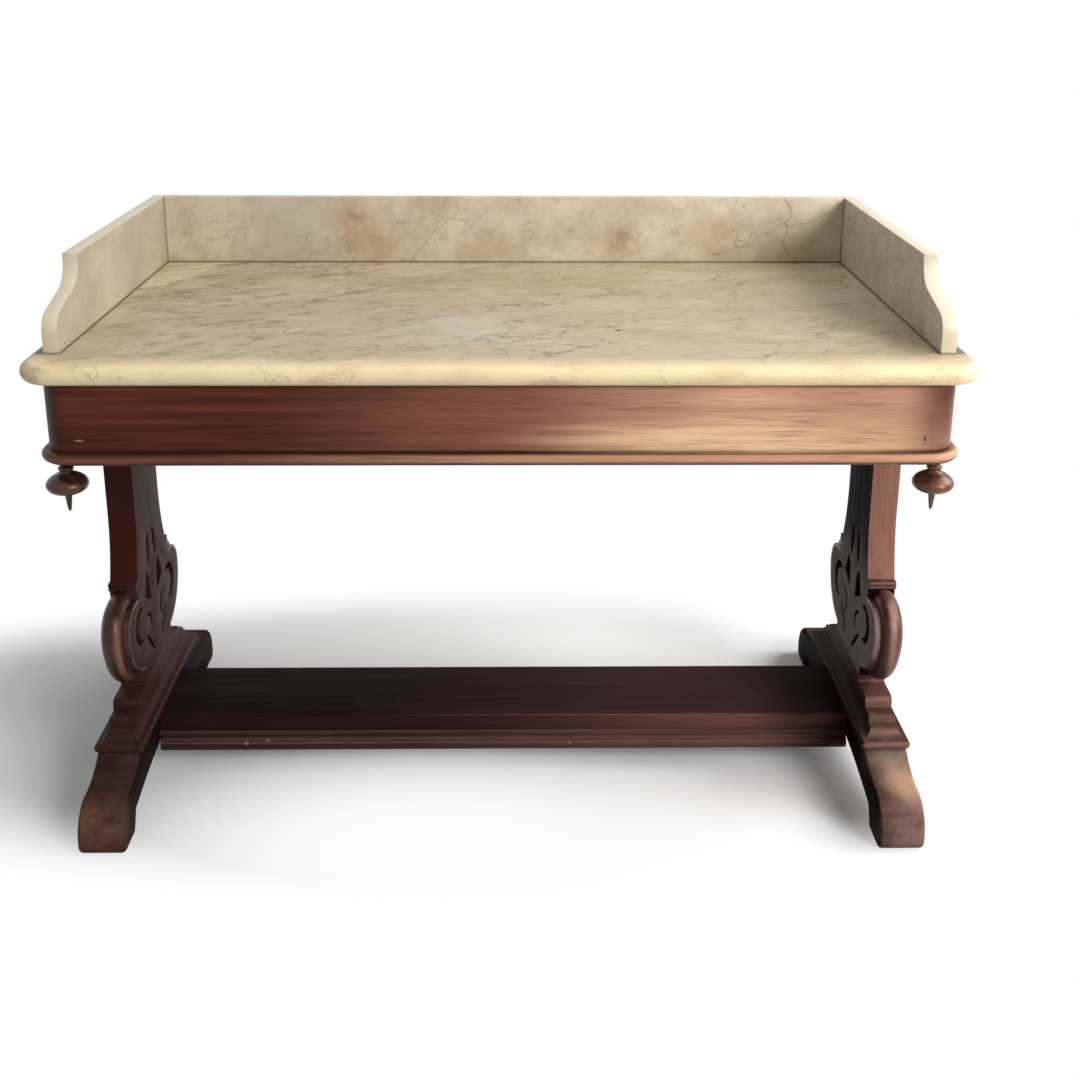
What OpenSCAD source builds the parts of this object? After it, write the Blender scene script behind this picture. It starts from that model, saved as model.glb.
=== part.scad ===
// Marble-topped washstand on two pierced lyre-shaped ends, joined by a low shelf.
// Millimetres. +X is to the right, -Y is the front and +Z is up.
// The origin is on the floor, under the middle of the marble slab.

/* [Marble top] */
// Width of the slab, side to side
slab_w = 1214; // [1100:1:1350]
// Depth of the slab, front to back
slab_d = 648; // [600:1:720]
// Thickness of the slab
slab_t = 26; // [20:1:32]
// Height of the slab's upper face above the floor
table_h = 715; // [680:1:800]
// Radius of the slab's two front corners, seen from above
slab_corner_r = 45; // [35:1:60]
// Thickness of the three upstands
splash_t = 19.5; // [16:0.5:24]
// Height of the upstands above the slab
splash_h = 109; // [106:1:130]
// Margin of slab outside each side upstand
splash_side_in = 23; // [18:0.5:30]
// Margin of slab in front of the side upstands
splash_front_in = 63.5; // [50:0.5:80]

/* [Upstand ends] */
// Length of the ogee cut at the front of a side upstand
ogee_run = 106; // [95:1:118]
// Height of the upright nose of the ogee
ogee_nose_h = 26; // [18:1:28]
// Radius of the rounded lower half of the ogee
ogee_low_r = 26; // [22:1:30]
// Slope of the ogee between its round and its hollow, in degrees
ogee_slope = 15; // [8:1:18]
// Radius of the hollow upper half of the ogee
ogee_high_r = 39; // [34:1:42]
// Diameter of the iron pins that key the upstands to the slab
pin_d = 6; // [4:0.5:8]
// Depth that a pin enters the slab, and the upstand
pin_depth = 14; // [10:1:16]

/* [Frieze] */
// Height of the frieze under the slab
frieze_h = 106; // [95:1:120]
// Overhang of the slab past the front of the frieze
front_overhang = 16; // [12:1:24]
// Overhang of the slab past each side of the frieze
side_overhang = 25; // [18:1:30]
// Overhang of the slab past the back of the frieze
back_overhang = 52; // [30:1:60]
// Thickness of the frieze rails
rail_t = 22; // [18:1:26]
// Side of the square corner blocks
block_w = 58; // [50:1:66]
// Radius of the rounded outer corner of a block
frieze_corner_r = 36; // [28:1:42]
// Height of the bead along the foot of the frieze
bead_h = 14; // [10:1:18]
// Flat of the bead, behind its round
bead_flat = 3.5; // [1:0.5:5]
// Width of the cross bearers
bearer_w = 40; // [36:1:50]
// Height of the cross bearers
bearer_h = 60; // [45:1:80]
// Side of the square glue blocks
glue_w = 24; // [18:1:30]

/* [Pendants] */
// Diameter of the pendant's saucer
saucer_d = 54; // [46:1:60]
// Height of the pendant's saucer
saucer_h = 29; // [22:1:32]
// Drop of the middle of the saucer below the frieze
saucer_drop = 34; // [32:1:40]
// Radius of the pendant's neck between its rings
stalk_r = 7; // [6.5:0.5:9]
// Radius of the two rings on the pendant's neck
ring_r = 3; // [2:0.5:3.5]
// Radius of the spike under the saucer
spike_r = 5; // [4:0.5:6]
// Radius of the spike's rounded tip
spike_tip_r = 2; // [1.5:0.5:3]
// Height of the pendant below the frieze
pendant_h = 73; // [66:1:88]
// Diameter of the spigot that holds the pendant
spigot_d = 12; // [10:1:13]
// Length of that spigot
spigot_h = 24; // [18:1:40]
// Distance of the pendant from the centre of the block's rounded corner
pendant_out = 20; // [12:1:21]

/* [Lyre ends] */
// Thickness of the pierced end
panel_t = 40; // [36:1:44]
// Step from the frieze's side face in to the end's outer face
panel_in = 2; // [1:0.5:6]
// Half the depth of the slim neck
neck_half = 64; // [54:1:68]
// Half the depth of the neck where it meets the shoulders
neck_foot_half = 87; // [76:1:92]
// Height over which the neck spreads to the shoulders
neck_flare_h = 108; // [90:1:120]
// Half the depth across the lobes
lobe_half = 160; // [155:1:168]
// Radius of the lobe below its widest point
lobe_low_r = 96; // [92:1:100]
// Radius of the lobe above its widest point
lobe_high_r = 55; // [50:1:60]
// Thickness of the rounded roll laid round the lobe's edge
roll_t = 20; // [18:1:22]
// Height of the round on that roll
roll_crown = 15; // [11:0.5:15]
// Flat fillet left on the inner side of the round
roll_flat = 8; // [5:0.5:10]
// Flat left on the outer side of the round
roll_edge = 1.5; // [1:0.5:3]
// Half the depth of the stem under the lobes
stem_half = 75; // [68:1:78]
// Height of the collar on the neck's edges
collar_h = 12; // [10:1:16]
// Thickness of the collar
collar_t = 6; // [4:0.5:8]
// Half the depth of the head, where the end meets its bearer
head_half = 96; // [80:1:110]
// Thickness of the tenon on the end's head
tenon_t = 12; // [10:1:14]
// Height of that tenon
tenon_h = 32; // [20:1:40]
// Shoulder left outside each end of that tenon
tenon_in = 12; // [8:1:16]

/* [Fretwork] */
// Width of the two tall slits over the lobes
slit_w = 13; // [9:0.5:15]
// Height of those slits
slit_h = 53; // [46:1:58]
// Distance of a tall slit's lower tip from the centre line
slit_out = 21; // [18:1:24]
// Height of that tip above the widest point of the lobes
slit_up = 64; // [61:1:70]
// Distance of a pierced spearhead's point from the centre line
spear_out = 35; // [33:1:38]
// Height of that point above the widest point of the lobes
spear_up = 60; // [55:1:62]
// Height of the spearhead
spear_h = 53; // [46:1:56]
// Width of the spearhead
spear_w = 31; // [24:1:33]
// Distance of the crescent's centre from the centre line
crescent_out = 77; // [74:1:80]
// Drop of that centre below the widest point of the lobes
crescent_drop = 8; // [5:1:12]
// Radius of the pierced crescent
crescent_r = 25.5; // [23:0.5:28]
// Widest part of the crescent
crescent_w = 15; // [10:0.5:16]
// Distance of the hook's centre from the centre line
hook_out = 47; // [45:1:50]
// Drop of that centre below the widest point of the lobes
hook_drop = 26; // [24:1:28]
// Radius of the pierced hook
hook_r = 20; // [18:0.5:21]
// Widest part of the hook
hook_w = 7; // [5:0.5:8]
// Distance of the lower tip of the slanting slit from the centre line
tail_out = 19; // [16:1:22]
// Drop of that tip below the widest point of the lobes
tail_drop = 76; // [74:1:79]
// Length of the slanting slit
tail_l = 54.5; // [46:0.5:56]
// Width of the slanting slit
tail_w = 8; // [6:0.5:9]

/* [Trestle base] */
// Height of the foot under the plinth
foot_h = 93; // [84:1:100]
// Thickness of the foot
foot_t = 65; // [58:1:68]
// Half the length of the foot
foot_half = 290; // [270:1:310]
// Radius of the rounded toe
toe_r = 50; // [44:1:54]
// Radius of the toe's lower corner
toe_low_r = 14; // [10:1:18]
// Height of the centre of the toe's round
toe_centre_h = 20; // [16:1:24]
// Length of the pad that stands on the floor
pad_l = 58; // [48:1:70]
// Height of the arch behind the pad
arch_low = 28; // [22:1:32]
// Height of the arch in its middle
arch_high = 52; // [46:1:58]
// Height of the plinth's bead, and of the hollow over it
plinth_bead_h = 13; // [11:1:15]
// Width of the plinth across its bead
plinth_w = 72; // [68:1:76]
// Half the length of the plinth
plinth_half = 179; // [172:1:188]
// Height of the stepped pedestal on the plinth
pedestal_h = 40; // [36:1:46]
// Half the length of the pedestal's lowest step
step_half = 146; // [140:1:152]
// Height of the lowest step
step_h = 12; // [10:1:14]
// Half the length of the block on that step
ovolo_half = 122; // [116:1:128]
// Height of that block
ovolo_h = 17; // [14:1:19]
// Radius of the block's rounded upper edges
ovolo_r = 9; // [6:1:12]
// How far the cap under the stem stands out past it
cap_out = 2; // [1:0.5:4]
// Diameter of the dowels through the base
dowel_d = 14; // [10:1:18]

/* [Shelf] */
// Half the depth of the shelf board
shelf_half = 75; // [65:1:85]
// Thickness of the shelf board
shelf_t = 26; // [20:1:30]
// Height of the moulded rails under the shelf
moulding_h = 31; // [26:1:36]
// Thickness of those rails
moulding_t = 24; // [20:1:28]
// How far the rails stand out past the board
moulding_out = 6; // [4:1:9]
// Height of the square listel along the top of those rails
listel_h = 4; // [3:0.5:5]
// How far the face between listel and bead is set back from them
fascia_in = 3; // [2:0.5:4]
// Thickness of the cleats that carry the shelf
cleat_t = 30; // [24:1:36]

/* [Fixings] */
// Shank diameter of the screws
screw_d = 5; // [4:0.5:6]
// Head diameter of the screws
screw_head_d = 10; // [8:0.5:12]
// Radial clearance round pins, spigots, dowels and tenons
fit_gap = 0.1; // [0.05:0.05:0.3]

/* [Hidden] */
$fn = 96;
left = -1;
right = 1;
front = -1;
rear = 1;
past = 1;

// Marble
slab_under = table_h - slab_t;
slab_edge_r = slab_t / 2;
splash_x = slab_w / 2 - splash_side_in - splash_t / 2;
splash_inner_w = 2 * splash_x - splash_t;
splash_front_y = -slab_d / 2 + splash_front_in;
splash_l = slab_d - splash_front_in;
back_splash_y = slab_d / 2 - splash_t / 2;
ogee_low_end = [ogee_low_r * (1 - sin(ogee_slope)), ogee_nose_h + ogee_low_r * cos(ogee_slope)];
ogee_high_y = ogee_run - ogee_high_r;
ogee_high_start = ogee_high_y + ogee_high_r * sin(ogee_slope);
ogee_high_z = ogee_low_end.y + (ogee_high_start - ogee_low_end.x) * tan(ogee_slope)
    + ogee_high_r * cos(ogee_slope);
side_pin_ys = [for (k = [0.12, 0.5, 0.88]) splash_front_y + k * splash_l];
back_pin_xs = [for (k = [-0.4, 0, 0.4]) k * splash_inner_w];

// Frieze
frieze_half = slab_w / 2 - side_overhang;
frieze_front_y = -slab_d / 2 + front_overhang;
frieze_back_y = slab_d / 2 - back_overhang;
frieze_under = slab_under - frieze_h;
wood_y = (frieze_front_y + frieze_back_y) / 2;
bead_r = bead_h / 2;
corner_x = frieze_half - frieze_corner_r;
corner_y = frieze_front_y + frieze_corner_r;
bearer_x = frieze_half - rail_t - bearer_w / 2;
bearer_front_y = frieze_front_y + block_w;
bearer_back_y = frieze_back_y - rail_t;
pendant_turn = 35;
pendant_x = corner_x + pendant_out * cos(pendant_turn);
pendant_y = corner_y - pendant_out * sin(pendant_turn);
bearer_screw_z = frieze_under + bearer_h * 0.7;

// Trestle ends
panel_x = frieze_half - panel_in - panel_t / 2;
plinth_h = 2 * plinth_bead_h;
pedestal_z = foot_h + plinth_h;
panel_z = pedestal_z + pedestal_h;
panel_h = frieze_under - panel_z;
lobe_z = lobe_low_r;
lobe_low_y = lobe_half - lobe_low_r;
lobe_high_y = lobe_half - lobe_high_r;
shoulder_z = lobe_z + lobe_high_r;
core_low_r = lobe_low_r - roll_t;
core_high_r = lobe_high_r - roll_t;
tenon_x = (panel_x - panel_t / 2 + frieze_half - rail_t) / 2;
tenon_half = neck_half - tenon_in;
head_r = head_half - neck_half;
flare_d = neck_foot_half - neck_half;
slit_lean = 7.5;
crescent_ends = [-95, 115];
hook_ends = [80, 238];
tail_lean = -43;
flare_r = (neck_flare_h * neck_flare_h + flare_d * flare_d) / (2 * flare_d);

// Base and shelf
arch_rise = arch_high - arch_low;
arch_half = foot_half - pad_l - arch_low / 2;
arch_r = (arch_half * arch_half + arch_rise * arch_rise) / (2 * arch_rise);
toe_y = foot_half - toe_r;
toe_top = toe_centre_h + toe_r;
instep_y = plinth_half - plinth_bead_h / 2;
instep_run = toe_y - instep_y;
instep_drop = foot_h - toe_top;
instep_r = (instep_run * instep_run + instep_drop * instep_drop) / (2 * instep_drop);
dowel_y = stem_half - dowel_d * 2;
dowel_up = pedestal_h - dowel_d;
dowel_down = foot_h - arch_high - dowel_d;
shelf_half_l = panel_x - foot_t / 2;
shelf_z = foot_h - shelf_t;
moulding_z = shelf_z - moulding_h;
moulding_face = shelf_half + moulding_out;
cleat_half = moulding_face - moulding_t;
cleat_h = moulding_h - moulding_out;
cleat_screw_y = cleat_half / 2;
cleat_screw_z = shelf_z - (foot_h - arch_high - shelf_t) / 2;

// Points along an arc of radius r about [cx, cy]
function arc(cx, cy, r, a0, a1, steps = 12) =
    [for (i = [0:steps]) let (a = a0 + (a1 - a0) * i / steps) [cx + r * cos(a), cy + r * sin(a)]];

// Mirrors a half outline to the other side of the upright axis
function both_sides(pts) =
    concat(pts, [for (i = [len(pts) - 1:-1:0]) [-pts[i][0], pts[i][1]]]);

// Draws a flat outline of [depth, height] as a slab of thickness t across X
module across(x, t) {
    translate([x - t / 2, 0, 0]) rotate([90, 0, 90]) linear_extrude(t) children();
}

// Turns a section of [radius, width] about an axis along X, from angle a0 by sweep
module turned_across(x, y, z, a0, sweep) {
    translate([x, y, z]) rotate([90, 0, 90]) rotate([0, 0, a0])
        rotate_extrude(angle = sweep) children();
}

module peg(x, y, z, d, h) {
    translate([x, y, z]) cylinder(d = d, h = h, $fn = 32);
}

module peg_x(x, y, z, d, h) {
    translate([x, y, z]) rotate([0, 90, 0]) cylinder(d = d, h = h, $fn = 32);
}

module slab_pins(gap) {
    for (s = [left, right], y = side_pin_ys)
        peg(s * splash_x, y, table_h - pin_depth, pin_d + 2 * gap, 2 * pin_depth);
    for (x = back_pin_xs)
        peg(x, back_splash_y, table_h - pin_depth, pin_d + 2 * gap, 2 * pin_depth);
}

// Section of the slab's rounded edge, from w inside it outwards
module edge_section(w) {
    square([w, slab_t]);
    translate([w, slab_edge_r]) intersection() {
        circle(r = slab_edge_r);
        translate([0, -slab_edge_r]) square([slab_edge_r, slab_t]);
    }
}

module marble_slab() {
    edge_x = slab_w / 2 - slab_edge_r;
    edge_y = -slab_d / 2 + slab_edge_r;
    turn_r = slab_corner_r - slab_edge_r;
    turn_x = edge_x - turn_r;
    turn_y = edge_y + turn_r;
    color([0.79, 0.74, 0.62]) difference() {
        translate([0, 0, slab_under]) union() {
            translate([-turn_x, turn_y, 0]) cube([2 * turn_x, slab_d / 2 - turn_y, slab_t]);
            translate([-turn_x, turn_y, 0]) rotate([90, 0, 90]) linear_extrude(2 * turn_x)
                mirror([1, 0]) edge_section(turn_r);
            for (s = [0, 1]) mirror([s, 0, 0]) {
                translate([turn_x, slab_d / 2, 0]) rotate([90, 0, 0])
                    linear_extrude(slab_d / 2 - turn_y) edge_section(turn_r);
                translate([turn_x, turn_y, 0]) rotate([0, 0, -90])
                    rotate_extrude(angle = 90) edge_section(turn_r);
            }
        }
        slab_pins(fit_gap);
    }
}

// Side view of an upstand, from its ogee nose at [0, 0] to the back
module splash_outline() {
    polygon(concat(
        [[splash_l, 0], [0, 0]],
        arc(ogee_low_r, ogee_nose_h, ogee_low_r, 180, 90 + ogee_slope),
        arc(ogee_high_y, ogee_high_z, ogee_high_r, ogee_slope - 90, 0),
        [[ogee_run, splash_h], [splash_l, splash_h]]
    ));
}

module side_splash(side) {
    color([0.74, 0.70, 0.60]) difference() {
        translate([0, splash_front_y, table_h]) across(side * splash_x, splash_t) splash_outline();
        slab_pins(fit_gap);
    }
}

module left_splash() { side_splash(left); }
module right_splash() { side_splash(right); }

module back_splash() {
    color([0.76, 0.71, 0.60]) difference() {
        translate([-splash_inner_w / 2, slab_d / 2 - splash_t, table_h])
            cube([splash_inner_w, splash_t, splash_h]);
        slab_pins(fit_gap);
    }
}

module splash_pins() { color([0.35, 0.33, 0.32]) slab_pins(0); }

module rail(x0, y0, w, d) {
    translate([x0, y0, frieze_under]) cube([w, d, frieze_h]);
}

module front_rail() {
    half = frieze_half - block_w;
    color([0.42, 0.20, 0.14]) rail(-half, frieze_front_y, 2 * half, rail_t);
}

module back_rail() {
    half = frieze_half - rail_t;
    color([0.40, 0.26, 0.18]) rail(-half, frieze_back_y - rail_t, 2 * half, rail_t);
}

// One row of holes, or of screws, from a side bearer into its rail
module bearer_screw_row(side, gap) {
    shank = rail_t / 2 + bearer_w;
    for (k = [0.15, 0.5, 0.85])
        translate([side * (bearer_x - bearer_w / 2), bearer_front_y + k * (bearer_back_y - bearer_front_y),
                   bearer_screw_z]) rotate([0, side * 90, 0]) {
            cylinder(d = screw_d + 2 * gap, h = shank, $fn = 24);
            cylinder(d1 = screw_head_d + 2 * gap, d2 = screw_d + 2 * gap,
                     h = (screw_head_d - screw_d) / 2, $fn = 24);
        }
}

module side_rail(side) {
    color([0.38, 0.18, 0.13]) difference() {
        rail(side * (frieze_half - rail_t / 2) - rail_t / 2, bearer_front_y, rail_t,
             frieze_back_y - bearer_front_y);
        bearer_screw_row(side, fit_gap);
    }
}

module left_rail() { side_rail(left); }
module right_rail() { side_rail(right); }

module corner_block(side) {
    inner = frieze_half - block_w;
    color([0.40, 0.19, 0.13]) difference() {
        translate([0, 0, frieze_under]) linear_extrude(frieze_h) union() {
            intersection() {
                translate([side * corner_x, corner_y]) circle(r = frieze_corner_r);
                translate([side * (corner_x + frieze_half) / 2 - frieze_corner_r / 2, frieze_front_y])
                    square(frieze_corner_r);
            }
            translate([side * (inner + corner_x) / 2 - (corner_x - inner) / 2, frieze_front_y])
                square([corner_x - inner, block_w]);
            translate([side * (inner + frieze_half) / 2 - block_w / 2, corner_y])
                square([block_w, block_w - frieze_corner_r]);
        }
        peg(side * pendant_x, pendant_y, frieze_under - past, spigot_d + 2 * fit_gap,
            spigot_h + fit_gap + past);
    }
}

module left_corner_block() { corner_block(left); }
module right_corner_block() { corner_block(right); }

// Section of the bead, from the rail's face outwards
module bead_section() {
    square([bead_flat, bead_h]);
    translate([bead_flat, bead_r]) intersection() {
        circle(r = bead_r);
        translate([0, -bead_r]) square([bead_r, bead_h]);
    }
}

module front_bead() {
    color([0.45, 0.25, 0.17]) translate([-corner_x, frieze_front_y, frieze_under])
        rotate([90, 0, 90]) linear_extrude(2 * corner_x) mirror([1, 0]) bead_section();
}

module side_bead(side) {
    color([0.40, 0.21, 0.15]) mirror([side == left ? 1 : 0, 0, 0])
        translate([frieze_half, frieze_back_y, frieze_under]) rotate([90, 0, 0])
            linear_extrude(frieze_back_y - corner_y) bead_section();
}

module left_bead() { side_bead(left); }
module right_bead() { side_bead(right); }

module corner_bead(side) {
    color([0.42, 0.23, 0.16]) translate([side * corner_x, corner_y, frieze_under])
        rotate([0, 0, side == left ? 180 : 270]) rotate_extrude(angle = 90)
            translate([frieze_corner_r, 0]) bead_section();
}

module left_corner_bead() { corner_bead(left); }
module right_corner_bead() { corner_bead(right); }

module tenon(side, gap) {
    translate([side * tenon_x - tenon_t / 2 - gap, wood_y - tenon_half - gap, frieze_under - past])
        cube([tenon_t + 2 * gap, 2 * (tenon_half + gap), tenon_h + gap + past]);
}

module side_bearer(side) {
    color([0.50, 0.36, 0.24]) difference() {
        translate([side * bearer_x - bearer_w / 2, bearer_front_y, frieze_under])
            cube([bearer_w, bearer_back_y - bearer_front_y, bearer_h]);
        tenon(side, fit_gap);
        bearer_screw_row(side, fit_gap);
    }
}

module left_bearer() { side_bearer(left); }
module right_bearer() { side_bearer(right); }

module centre_bearer() {
    front_y = frieze_front_y + rail_t;
    color([0.52, 0.38, 0.25]) translate([-bearer_w / 2, front_y, slab_under - bearer_h])
        cube([bearer_w, bearer_back_y - front_y, bearer_h]);
}

module glue_blocks() {
    back_y = bearer_back_y - glue_w;
    front_y = frieze_front_y + rail_t;
    side_x = bearer_x - bearer_w / 2 - glue_w;
    color([0.58, 0.44, 0.30]) for (s = [left, right]) {
        for (y = [front_y, back_y])
            translate([s * (bearer_w + glue_w) / 2 - glue_w / 2, y, slab_under - bearer_h])
                cube([glue_w, glue_w, bearer_h]);
        translate([s * (side_x + glue_w / 2) - glue_w / 2, back_y, frieze_under])
            cube([glue_w, glue_w, bearer_h]);
    }
}

module bearer_screws() {
    color([0.55, 0.50, 0.42]) for (s = [left, right]) bearer_screw_row(s, 0);
}

// Half section of a pendant: spigot, ringed neck, rounded saucer and stub spike
module pendant_section() {
    top_ring_z = -2 * ring_r;
    low_ring_z = top_ring_z - 2.5 * ring_r;
    saucer_r = saucer_d / 2;
    saucer_top = 62;
    saucer_foot = -74;
    spike_z = -saucer_drop - saucer_h / 2;
    spike_l = pendant_h + spike_z - spike_tip_r;
    polygon(concat(
        [[0, spigot_h], [spigot_d / 2, spigot_h], [spigot_d / 2, 0], [stalk_r + ring_r, 0]],
        arc(stalk_r, top_ring_z, ring_r, 60, -90, 8),
        arc(stalk_r, low_ring_z, ring_r, 90, -90, 8),
        [for (a = [saucer_top:-8:saucer_foot])
            [saucer_r * cos(a), saucer_h / 2 * sin(a) - saucer_drop]],
        [[spike_r, spike_z], [(spike_r + spike_tip_r) / 2, spike_z - spike_l / 3]],
        arc(0, spike_z - spike_l, spike_tip_r, 0, -90, 4)
    ));
}

module pendant(side) {
    color([0.45, 0.27, 0.18]) translate([side * pendant_x, pendant_y, frieze_under])
        rotate_extrude($fn = 64) pendant_section();
}

module left_pendant() { pendant(left); }
module right_pendant() { pendant(right); }

// Outline of the end without its rolls, from the stem up to the head
module panel_outline() {
    flare_top = shoulder_z + neck_flare_h;
    low_end = -acos((stem_half - lobe_low_y) / core_low_r);
    polygon(both_sides(concat(
        [[stem_half, 0]],
        arc(lobe_low_y, lobe_z, core_low_r, low_end, 0, 16),
        arc(lobe_high_y, lobe_z, core_high_r, 0, 90, 8),
        [[neck_foot_half, shoulder_z - roll_t]],
        arc(neck_half + flare_r, flare_top, flare_r, 180 + asin(neck_flare_h / flare_r), 180, 8),
        arc(head_half, panel_h - head_r, head_r, 180, 90, 8)
    )));
}

// A slit that is widest in its middle and pointed at both ends
module slit(w, h) {
    polygon([for (i = [0:19]) let (a = 18 * i) [w / 2 * sin(a), h / 2 * (1 + cos(a))]]);
}

// A crescent about the origin that tapers to both ends
module crescent(r, w, ends) {
    steps = 12;
    tip = 0.25;
    half_w = [for (i = [0:steps]) w / 2 * (tip + (1 - tip) * sin(180 * i / steps))];
    turn = [for (i = [0:steps]) ends[0] + (ends[1] - ends[0]) * i / steps];
    polygon(concat(
        [for (i = [0:steps]) (r + half_w[i]) * [cos(turn[i]), sin(turn[i])]],
        [for (i = [steps:-1:0]) (r - half_w[i]) * [cos(turn[i]), sin(turn[i])]]
    ));
}

// A leaning spearhead with its point at the origin
module spearhead(w, h) {
    polygon([[0, 0], [0.45 * w, -0.7 * h], [-0.6 * w, -h], [-0.5 * w, -0.28 * h]]);
}

// The pierced fretwork, about the centre line and the widest point of the lobes
module fretwork() {
    for (s = [0, 1]) mirror([s, 0]) {
        translate([slit_out, slit_up]) rotate(slit_lean) slit(slit_w, slit_h);
        translate([spear_out, spear_up]) spearhead(spear_w, spear_h);
        translate([crescent_out, -crescent_drop]) crescent(crescent_r, crescent_w, crescent_ends);
        translate([hook_out, -hook_drop]) crescent(hook_r, hook_w, hook_ends);
        translate([tail_out, -tail_drop]) rotate(tail_lean) slit(tail_w, tail_l);
    }
}

module panel(side) {
    color([0.24, 0.12, 0.10]) {
        translate([0, wood_y, panel_z]) across(side * panel_x, panel_t) difference() {
            panel_outline();
            translate([0, lobe_z]) fretwork();
        }
        tenon_body(side);
    }
}

module tenon_body(side) {
    translate([side * tenon_x - tenon_t / 2, wood_y - tenon_half, frieze_under - past])
        cube([tenon_t, 2 * tenon_half, tenon_h + past]);
}

module left_panel() { panel(left); }
module right_panel() { panel(right); }

// Section of the roll on one side's end, with radius outwards and its width across
module roll_section(side, r) {
    round_w = panel_t - roll_flat - roll_edge;
    round_at = side * (roll_flat - roll_edge) / 2;
    round_r = (round_w * round_w / 4 + roll_crown * roll_crown) / (2 * roll_crown);
    translate([r - roll_t, -panel_t / 2]) square([roll_t - roll_crown, panel_t]);
    intersection() {
        translate([r - round_r, round_at]) circle(r = round_r);
        translate([r - roll_crown, round_at - round_w / 2]) square([roll_crown, round_w]);
    }
}

module roll(side, end) {
    x = side * panel_x;
    color([0.36, 0.18, 0.13]) translate([0, wood_y, 0]) mirror([0, end == front ? 1 : 0, 0]) union() {
        intersection() {
            turned_across(x, lobe_low_y, panel_z + lobe_z, -90, 90) roll_section(side, lobe_low_r);
            translate([x - panel_t, stem_half, panel_z]) cube([2 * panel_t, lobe_half, lobe_z + past]);
        }
        turned_across(x, lobe_high_y, panel_z + lobe_z, 0, 90) roll_section(side, lobe_high_r);
        translate([x, neck_foot_half, panel_z + shoulder_z]) rotate([-90, 0, 0])
            linear_extrude(lobe_high_y - neck_foot_half) rotate(-90) roll_section(side, 0);
    }
}

module left_front_roll() { roll(left, front); }
module left_rear_roll() { roll(left, rear); }
module right_front_roll() { roll(right, front); }
module right_rear_roll() { roll(right, rear); }

// Collar that stands on a shoulder against the neck's edge
module collar(side, end) {
    neck_back = neck_half + flare_r - sqrt(flare_r * flare_r - pow(neck_flare_h - collar_h, 2));
    bead = collar_h / 4;
    face = neck_foot_half + collar_t - bead;
    color([0.22, 0.10, 0.08]) translate([0, wood_y, panel_z + shoulder_z])
        mirror([0, end == front ? 1 : 0, 0]) across(side * panel_x, panel_t) difference() {
            union() {
                polygon([[neck_back, collar_h], [neck_foot_half, 0], [face, 0], [face, collar_h]]);
                for (k = [1, 3]) translate([face, k * bead]) circle(r = bead, $fn = 32);
            }
            polygon(concat(
                arc(neck_half + flare_r, neck_flare_h, flare_r, 180 + asin(neck_flare_h / flare_r), 180, 8),
                [[0, neck_flare_h], [0, 0]]
            ));
        }
}

module left_front_collar() { collar(left, front); }
module left_rear_collar() { collar(left, rear); }
module right_front_collar() { collar(right, front); }
module right_rear_collar() { collar(right, rear); }

module base_pegs(side, gap) {
    for (s = [front, rear])
        peg(side * panel_x, wood_y + s * dowel_y, foot_h - dowel_down, dowel_d + 2 * gap,
            dowel_down + plinth_h + dowel_up);
}

// Stepped block: a low step, a block with rounded upper edges, and a two-step cap
module pedestal(side) {
    ovolo_y = ovolo_half - ovolo_r;
    ovolo_top = step_h + ovolo_h;
    round_z = ovolo_top - ovolo_r;
    cap_z = (ovolo_top + pedestal_h) / 2;
    color([0.32, 0.17, 0.12]) difference() {
        translate([0, wood_y, pedestal_z]) across(side * panel_x, panel_t) union() {
            square_about(step_half, 0, step_h);
            square_about(ovolo_half, 0, round_z);
            for (s = [front, rear]) translate([s * ovolo_y, round_z]) circle(r = ovolo_r);
            square_about(ovolo_y, 0, ovolo_top);
            square_about(stem_half + cap_out, 0, cap_z);
            square_about(stem_half, 0, pedestal_h);
        }
        base_pegs(side, fit_gap);
    }
}

module square_about(half, z0, z1) {
    translate([-half, z0]) square([2 * half, z1 - z0]);
}

module left_pedestal() { pedestal(left); }
module right_pedestal() { pedestal(right); }

// Board with a half-round edge below a hollow, run round all four sides
module plinth(side) {
    r = plinth_bead_h / 2;
    half_w = plinth_w / 2 - r;
    half_l = plinth_half - r;
    cove_r = plinth_bead_h;
    cove_z = plinth_h;
    top_w = panel_t / 2;
    color([0.30, 0.15, 0.11]) difference() {
        translate([side * panel_x, wood_y, foot_h]) union() {
            translate([-half_w, -half_l, 0]) cube([2 * half_w, 2 * half_l, plinth_bead_h]);
            for (sx = [left, right]) translate([sx * half_w, -half_l, r]) rotate([-90, 0, 0])
                cylinder(r = r, h = 2 * half_l, $fn = 32);
            for (sy = [front, rear]) translate([-half_w, sy * half_l, r]) rotate([0, 90, 0])
                cylinder(r = r, h = 2 * half_w, $fn = 32);
            for (sx = [left, right], sy = [front, rear])
                translate([sx * half_w, sy * half_l, r]) sphere(r = r, $fn = 32);
            difference() {
                translate([-top_w - cove_r, -half_l, 0])
                    cube([2 * (top_w + cove_r), 2 * half_l, plinth_h]);
                for (sx = [left, right])
                    translate([sx * (top_w + cove_r), -plinth_half, cove_z]) rotate([-90, 0, 0])
                        cylinder(r = cove_r, h = 2 * plinth_half, $fn = 64);
                for (sy = [front, rear])
                    translate([-plinth_w, sy * half_l, cove_z]) rotate([0, 90, 0])
                        cylinder(r = cove_r, h = 2 * plinth_w, $fn = 64);
            }
        }
        base_pegs(side, fit_gap);
    }
}

module left_plinth() { plinth(left); }
module right_plinth() { plinth(right); }

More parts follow.
